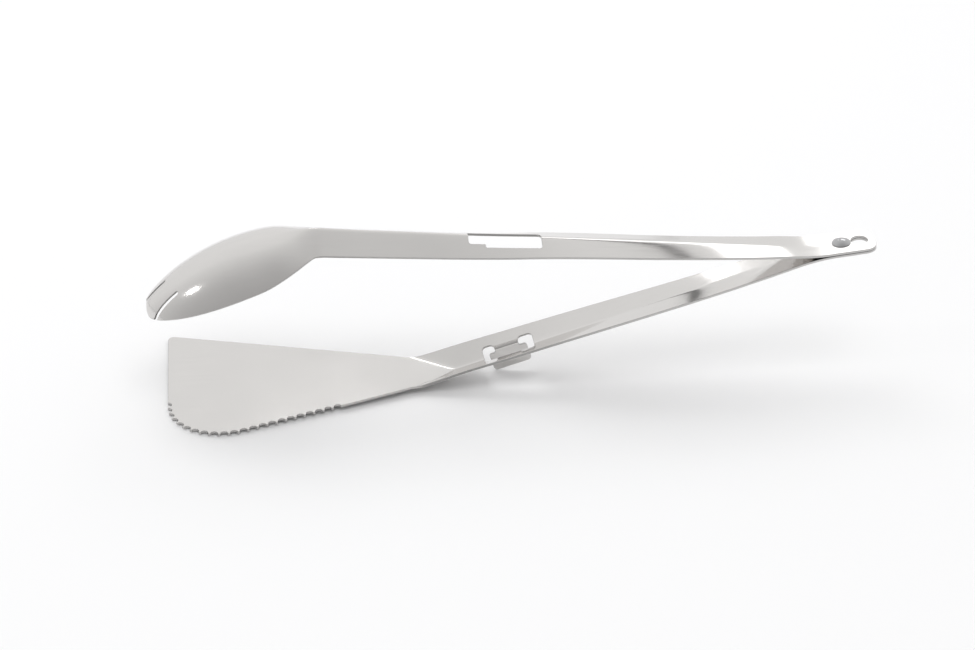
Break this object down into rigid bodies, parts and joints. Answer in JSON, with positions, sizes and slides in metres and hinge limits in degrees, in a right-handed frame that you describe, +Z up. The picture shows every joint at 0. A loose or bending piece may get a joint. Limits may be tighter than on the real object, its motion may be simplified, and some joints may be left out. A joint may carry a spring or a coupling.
{
  "type": "spork and turner tongs",
  "caption": "All-metal spring tongs: a spork arm and a serrated turner arm, pressed from sheet and riveted together at the hanging end.",
  "frame": {"origin": "on the table, under the middle of the tongs' bounding box", "axes": "+X to the hanging end, +Y to the turner's plain edge, +Z up; the tongs stand as they do on a table, on the blade's end and the hook tab's foot"},
  "size_m": [0.267, 0.0678, 0.0657],
  "materials": {
    "pressed_sheet": "polished stainless sheet, faintly satin, with dark cut edges",
    "rivet_metal": "polished stainless rivet"
  },
  "bodies": {
    "turner": {"turner_arm": "pressed_sheet"},
    "pivot": {"turner_spring": "pressed_sheet", "turner_tang": "pressed_sheet", "rivet": "rivet_metal"},
    "swivel": {"spork_tang": "pressed_sheet", "spork_spring": "pressed_sheet"},
    "spork": {"spork_arm": "pressed_sheet"}
  },
  "joints": [
    {"name": "turner_flex", "type": "hinge", "parent": "turner", "child": "pivot", "pos_m": [0.09713, -0.00163, 0.04287], "axis": [0, -1, 0], "range_deg": [0, 4.2], "stiffness_Nm_per_rad": 6, "deforming": ["turner_spring"]},
    {"name": "swing", "type": "hinge", "parent": "pivot", "child": "swivel", "pos_m": [0.12119, -0.00163, 0.04978], "axis": [-0.1214, 0, 0.9926], "range_deg": [-180, 180]},
    {"name": "spork_flex", "type": "hinge", "parent": "swivel", "child": "spork", "pos_m": [0.09617, -0.00163, 0.05069], "axis": [0, -1, 0], "range_deg": [0, 4.2], "stiffness_Nm_per_rad": 6, "deforming": ["spork_spring"]}
  ],
  "couplings": [
    {"joint": "spork_flex", "follows": "turner_flex", "ratio": 1}
  ]
}
